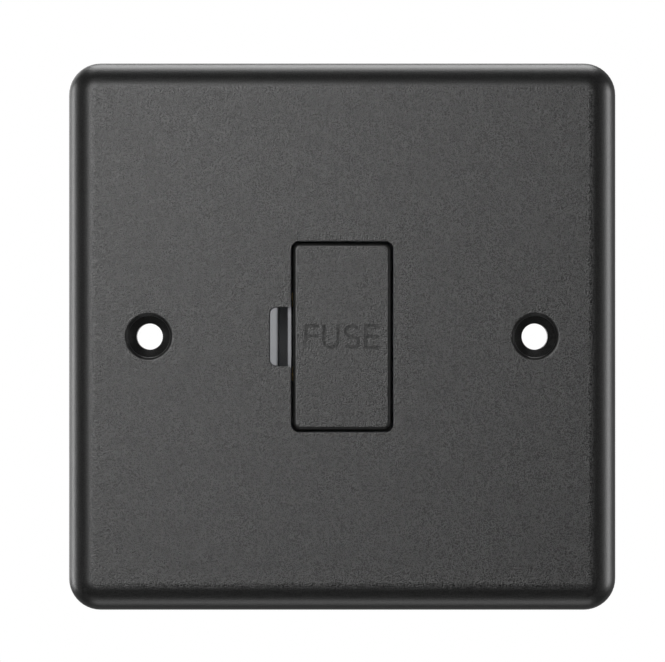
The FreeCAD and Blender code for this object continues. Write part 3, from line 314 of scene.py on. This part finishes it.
def make_ceramic():
    """Soft clouds between two off whites, with specks where a finer noise is highest."""
    material, tree, shader, place = new_finish("unglazed_ceramic")
    clouds = ranged(tree, grains(tree, place, CERAMIC_CLOUDS, CLOUDY), 0, 1)
    specks = ranged(tree, grains(tree, place, CERAMIC_SPECKS), 0, SPECK_SHARE,
                    SPECK_START, SPECK_FULL)
    body = between(tree, clouds, CLAY, FIRED)
    tree.links.new(between(tree, specks, body, SPECK), shader.inputs["Base Color"])
    tree.links.new(ranged(tree, grains(tree, place, CERAMIC_GRAINS), CERAMIC_SMOOTH, CERAMIC_ROUGH),
                   shader.inputs["Roughness"])
    raised(tree, shader, grains(tree, place, CERAMIC_GRAINS, TEXTURED), CERAMIC_RELIEF)
    return material


ceramic = make_ceramic()
print("ceramic:", ceramic.name)

# %% [markdown]
# Now each solid gets its finish. A rule by name is enough here, because the solid model names its
# pieces after what they are.

# %% Give each solid its finish
FINISHES = {
    "front_plate": coat, "carrier_cap": coat,
    "front_moulding": plastic, "rear_housing": plastic, "fuse_carrier": plastic,
    "fuse_tube": ceramic, "fuse_element": nickel,
    "fuse_cap_upper": nickel, "fuse_cap_lower": nickel,
    "fuse_contact_load": contact_brass, "fuse_contact_supply": contact_brass,
    "neutral_link": contact_brass,
    "earth_strap": zinc, "assembly_screws": zinc, "earth_screw": zinc,
}


def finish_of(name):
    """The finish of a piece: from the list, or else brass for a terminal and zinc for a screw."""
    if name in FINISHES:
        return FINISHES[name]
    return brass if name.endswith("_terminal") else zinc


for name, node in nodes.items():
    node.data.materials.clear()
    node.data.materials.append(finish_of(name))
print("finishes:", sorted({finish_of(name).name for name in nodes}))

# %% [markdown]
# The cap says FUSE in thin letters, cut a little into its face, so that a hand knows what the
# carrier holds. A font would do, but four letters of even strokes are quick to work out, and
# then their width and place are exact. F and E are outlines of straight lines. U and S are a
# pen's path, given a width: every point of the path is moved half a stroke to either side.

# %% Outlines of the four letters
LETTER_HEIGHT = 3.79 * MM
STROKE = 0.46 * MM
# The width of each letter and how far its middle lies from the middle of the cap.
LETTERS = {"F": (2.28 * MM, -4.73 * MM), "U": (2.68 * MM, -1.75 * MM),
           "S": (2.52 * MM, 1.53 * MM), "E": (2.4 * MM, 4.59 * MM)}
# The bars of F and E: where each lies, from -1 (foot) to 1 (top), and its share of the width.
BARS = {"F": [(0.06, 0.9), (1, 1)], "E": [(-1, 1), (0.04, 0.94), (1, 1)]}
# The angles in degrees at which the two arcs of S begin and end. The upper one is narrower.
S_UPPER, S_LOWER = (28, 262), (82, -152)
S_UPPER_WIDTH = 0.95
ARC_POINTS = 33


def barred(width, bars):
    """An upright with bars to its right: the outline steps out and back for each bar."""
    left, half = -width / 2, LETTER_HEIGHT / 2
    corners = [(left, -half)]
    for share, length in bars:
        middle = share * (half - STROKE / 2)
        low, high, tip = middle - STROKE / 2, middle + STROKE / 2, left + length * width
        corners += [(left + STROKE, low), (tip, low), (tip, high), (left + STROKE, high)]
    corners.append((left, half))
    # Corners that repeat at the foot and the top are dropped.
    kept = [corner for at, corner in enumerate(corners) if corner != corners[at - 1]]
    return np.array(kept)


def penned(path):
    """A path with a width: each point goes half a stroke out on both sides of the path."""
    ahead = np.gradient(path, axis=0)
    ahead /= np.linalg.norm(ahead, axis=1)[:, None]
    side = np.stack([-ahead[:, 1], ahead[:, 0]], axis=1) * STROKE / 2
    return np.concatenate([path + side, (path - side)[::-1]])


def arc(middle_z, wide, high, start, end):
    """Points of an ellipse round (0, middle_z) from one angle to another, in degrees."""
    angle = np.radians(np.linspace(start, end, ARC_POINTS))
    return np.stack([wide * np.cos(angle), middle_z + high * np.sin(angle)], axis=1)


def u_path(width):
    """Down the left, round the foot as half an ellipse, and up the right."""
    wide, half = (width - STROKE) / 2, LETTER_HEIGHT / 2
    bend = arc(wide - half + STROKE / 2, wide, wide, 180, 360)
    return np.concatenate([[(-wide, half)], bend, [(wide, half)]])


def s_path(width):
    """Two ellipses, one above the other: most of the upper one, then most of the lower one."""
    wide, quarter = (width - STROKE) / 2, (LETTER_HEIGHT - STROKE) / 4
    upper = arc(quarter, wide * S_UPPER_WIDTH, quarter, *S_UPPER)
    lower = arc(-quarter, wide, quarter, *S_LOWER)
    return np.concatenate([upper, lower])


def letter_outline(letter):
    """The closed outline of one letter, in its place on the cap's face, as x and z."""
    width, aside = LETTERS[letter]
    if letter in BARS:
        outline = barred(width, BARS[letter])
    else:
        outline = penned(u_path(width) if letter == "U" else s_path(width))
    # The area's sign tells the sense of the corners: half the sum of x times the next z, less
    # z times the next x, is above zero when they run anticlockwise.
    following = np.roll(outline, -1, axis=0)
    area = np.sum(outline[:, 0] * following[:, 1] - outline[:, 1] * following[:, 0]) / 2
    if area < 0:
        outline = outline[::-1]
    return outline + [aside, 0]


outlines = {letter: letter_outline(letter) for letter in LETTERS}
print("letters:", {letter: len(outline) for letter, outline in outlines.items()}, "corners")

# %% [markdown]
# The letters become four short prisms that stand half in the cap, and a Boolean modifier takes
# them out of it. The solid's mesh is loose triangles and mustn't change, so the cap is a copy,
# with its corners joined first. Weighted normals then keep the flat face flat beside its
# rounded edge.

# %% Cut the letters into the cap
LETTER_DEPTH = 0.14 * MM
# Corners that agree to this many digits of a metre are one corner.
WELD_DIGITS = 7
# Faces that meet at less than this angle are shaded as one smooth surface.
SMOOTH_ANGLE = math.radians(32)


def welded(name):
    """A copy of a solid's mesh as joined corners and triangles, without its old normals."""
    mesh = nodes[name].data
    corners = np.empty(len(mesh.vertices) * 3)
    mesh.vertices.foreach_get("co", corners)
    mesh.calc_loop_triangles()
    faces = np.empty(len(mesh.loop_triangles) * 3, dtype=int)
    mesh.loop_triangles.foreach_get("vertices", faces)
    corners = corners.reshape(-1, 3)
    _, first, number = np.unique(np.round(corners, WELD_DIGITS), axis=0,
                                 return_index=True, return_inverse=True)
    faces = number.reshape(-1)[faces].reshape(-1, 3)
    # A triangle that has lost a corner to another one is no face any more.
    one, two, three = faces.T
    whole = (one != two) & (two != three) & (three != one)
    return corners[first], faces[whole]


def new_piece(name, corners, faces):
    """An object at the origin from arrays of corners and faces."""
    mesh = bpy.data.meshes.new(name)
    mesh.from_pydata([tuple(corner) for corner in corners.tolist()], [],
                     [tuple(face) for face in faces])
    mesh.update()
    piece = bpy.data.objects.new(name, mesh)
    scene.collection.objects.link(piece)
    return piece


def prism(outline, front, back):
    """An outline carried along Y: a face of the outline at each end and a wall between.

    Corner k of the front meets corner k of the back, and each wall face joins two of each. The
    outline runs anticlockwise as seen from the front, so its front face looks forwards.
    """
    count = len(outline)
    ends = [np.insert(outline, 1, depth, axis=1) for depth in (front, back)]
    around = np.arange(count)
    after = (around + 1) % count
    walls = np.stack([after, around, around + count, after + count], axis=1)
    return np.concatenate(ends), [around.tolist(), (around + count)[::-1].tolist(), *walls.tolist()]


def cut_letters():
    """The cap with every letter taken out of its face by an exact Boolean."""
    corners, faces = welded("carrier_cap")
    cap = new_piece("lettered_cap", corners, faces.tolist())
    cap.data.materials.append(coat)
    face_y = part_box("carrier_cap")[0].y
    cutters = []
    for letter, outline in outlines.items():
        cutter = new_piece("cutter_" + letter,
                           *prism(outline, face_y - LETTER_DEPTH, face_y + LETTER_DEPTH))
        cutter.data.materials.append(letter_coat)
        cutters.append(cutter)
        step = cap.modifiers.new("cut_" + letter, "BOOLEAN")
        step.operation = "DIFFERENCE"
        step.solver = "EXACT"
        step.material_mode = "TRANSFER"
        step.object = cutter
    bpy.context.view_layer.update()
    graph = bpy.context.evaluated_depsgraph_get()
    made = bpy.data.meshes.new_from_object(cap.evaluated_get(graph))
    cap.modifiers.clear()
    cap.data = made
    for cutter in cutters:
        bpy.data.objects.remove(cutter)
    made.polygons.foreach_set("use_smooth", np.ones(len(made.polygons), dtype=bool))
    made.set_sharp_from_angle(angle=SMOOTH_ANGLE)
    weighted = cap.modifiers.new("flat_stays_flat", "WEIGHTED_NORMAL")
    weighted.keep_sharp = True
    return cap


cap = cut_letters()
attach(cap, "carrier")
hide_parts("carrier_cap")
print("cap:", len(cap.data.polygons), "faces,", len(cap.data.materials), "finishes")

# %% [markdown]
# The dark coat shows the room more than its own colour, so the light is a set of soft panels
# whose places count. Four in front, to the left and above, give the face its shine, which fades
# to the lower right. Five stand beside the plate, most of them level with it or a little behind.
# They light its rounded edges and hardly reach into the holes. Between the face's shine and the
# edge's shine lies a dark band, because nothing bright stands in between. Two more panels behind
# are for the back of the unit. A panel of glow one is as bright as white paper.

# %% Soft panels
PANEL_DISTANCE = 700 * MM
# Each panel: its name, how far it lies to the right and up as seen from the plate, its width and
# height, all in degrees, and its glow.
PANELS = [
    ("left_front", -22, 0, 22, 22, 5.6),
    ("upper_left_front", -22, 22, 22, 22, 7.6),
    ("upper_front", 0, 22, 22, 22, 2.6),
    ("lens_front", 0, 0, 22, 22, 1.4),
    ("right_edge", 94, 0, 15, 44, 9.0),
    ("right_side", 79, 0, 15, 44, 1.2),
    ("left_edge", -110, 0, 16, 44, 8.0),
    ("top_edge", 0, 115, 44, 34, 5.3),
    ("bottom_edge", 0, -89, 44, 18, 2.6),
    ("back_left", -150, 12, 36, 44, 1.1),
    ("back", 180, 0, 26, 26, 2.0),
]


def hang_panel(name, right, up, wide, high, glow):
    """A rectangular lamp that faces the plate from a direction.

    Its sides are twice the distance times the tangent of half its angle. A lamp of glow one
    gives pi watts for each square metre.
    """
    turn, rise = math.radians(right), math.radians(up)
    towards = Vector((math.sin(turn) * math.cos(rise), -math.cos(turn) * math.cos(rise),
                      math.sin(rise)))
    lamp = bpy.data.lights.new(name, "AREA")
    lamp.shape = "RECTANGLE"
    lamp.size = 2 * PANEL_DISTANCE * math.tan(math.radians(wide) / 2)
    lamp.size_y = 2 * PANEL_DISTANCE * math.tan(math.radians(high) / 2)
    lamp.energy = math.pi * lamp.size * lamp.size_y * glow
    hung = bpy.data.objects.new(name, lamp)
    hung.location = towards * PANEL_DISTANCE
    hung.rotation_euler = (-towards).to_track_quat("-Z", "Y").to_euler()
    hung.visible_camera = False
    scene.collection.objects.link(hung)
    return hung


panels = [hang_panel(*row) for row in PANELS]
print("panels:", len(panels), "watts:", round(sum(panel.data.energy for panel in panels), 1))

# %% [markdown]
# The background is white paper. A world as bright as that all round would wash out the dark bands
# on the edges, so the world tells rays apart. A ray from the camera, or one that went through
# something clear, sees white. A mirrored ray that goes behind the plate sees the paper in shade,
# and all other rays see a dim room.

# %% White background and dim room
ROOM_GLOW = 0.04
PAPER_GLOW = 0.25
# The shaded paper comes in where a ray's direction has this much of Y, and is full from there.
PAPER_START, PAPER_FULL = 0.4, 0.8

world = bpy.data.worlds.new("white_paper")
scene.world = world
world.use_nodes = True
world.cycles.sampling_method = "NONE"
sky = world.node_tree
ray = sky.nodes.new("ShaderNodeLightPath").outputs
direction = sky.nodes.new("ShaderNodeSeparateXYZ")
sky.links.new(sky.nodes.new("ShaderNodeTexCoord").outputs["Generated"], direction.inputs[0])
behind = ranged(sky, direction.outputs["Y"], 0, PAPER_GLOW, PAPER_START, PAPER_FULL)
direct = combine(sky, "MAXIMUM", ray["Is Camera Ray"], ray["Is Transmission Ray"])
mirrored = combine(sky, "MULTIPLY", ray["Is Glossy Ray"], behind)
white = combine(sky, "MAXIMUM", direct, mirrored)
background = sky.nodes["Background"]
background.inputs["Color"].default_value = (1, 1, 1, 1)
sky.links.new(ranged(sky, white, ROOM_GLOW, 1, 0, 1), background.inputs["Strength"])
scene.view_settings.view_transform = "Standard"
print("world:", world.name, "room glow:", ROOM_GLOW)

# %% [markdown]
# The floor is a pale sheet well below the unit, which hangs on a wall in use. It takes the unit's
# soft shadow in views from above. Part of its brightness is its own for the camera. That part
# grows with the distance from the unit until the sheet is as white as the background, so no edge
# shows. The lower panel shines through it from below.

# %% Floor
FLOOR_DROP = 115 * MM
FLOOR_SIDE, FLOOR_BACK = 900 * MM, 1000 * MM
FLOOR_COLOUR, FLOOR_SHADE = (0.82, 0.82, 0.81), 0.97
FLOOR_CLOUDS, FLOOR_ROUGHNESS = 90, 0.9
OWN_LIGHT = 0.5
FADE_START, FADE_END = 220 * MM, 520 * MM


def make_floor_finish():
    """Matt paper with a faint grain, mixed with its own light for rays that see it.

    The share of that light is OWN_LIGHT near the unit and one beyond the fade's end.
    """
    material, tree, shader, place = new_finish("pale_floor")
    clouds = ranged(tree, grains(tree, place, FLOOR_CLOUDS, CLOUDY), 0, 1)
    paper = between(tree, clouds, [value * FLOOR_SHADE for value in FLOOR_COLOUR], FLOOR_COLOUR)
    tree.links.new(paper, shader.inputs["Base Color"])
    shader.inputs["Roughness"].default_value = FLOOR_ROUGHNESS
    ray = tree.nodes.new("ShaderNodeLightPath").outputs
    seen = combine(tree, "MAXIMUM", ray["Is Camera Ray"], ray["Is Transmission Ray"])
    seen = combine(tree, "MAXIMUM", seen, ray["Is Glossy Ray"])
    glow = tree.nodes.new("ShaderNodeEmission")
    glow.inputs["Strength"].default_value = 1.0
    away = tree.nodes.new("ShaderNodeVectorMath")
    away.operation = "LENGTH"
    tree.links.new(place, away.inputs[0])
    own = ranged(tree, away.outputs["Value"], OWN_LIGHT, 1, FADE_START, FADE_END)
    blend = tree.nodes.new("ShaderNodeMixShader")
    tree.links.new(combine(tree, "MULTIPLY", seen, own), blend.inputs["Fac"])
    tree.links.new(shader.outputs["BSDF"], blend.inputs[1])
    tree.links.new(glow.outputs["Emission"], blend.inputs[2])
    tree.links.new(blend.outputs["Shader"], tree.nodes["Material Output"].inputs["Surface"])
    material.cycles.emission_sampling = "NONE"
    return material


floor_corners = np.array([(x * FLOOR_SIDE, y * FLOOR_BACK, -FLOOR_DROP)
                          for x, y in ((-1, -1), (1, -1), (1, 1), (-1, 1))])
floor = new_piece("floor", floor_corners, [(0, 1, 2, 3)])
floor.data.materials.append(make_floor_finish())
floor.visible_shadow = False
floor.visible_glossy = False
print("floor:", round(FLOOR_DROP / MM), "mm below the centre")
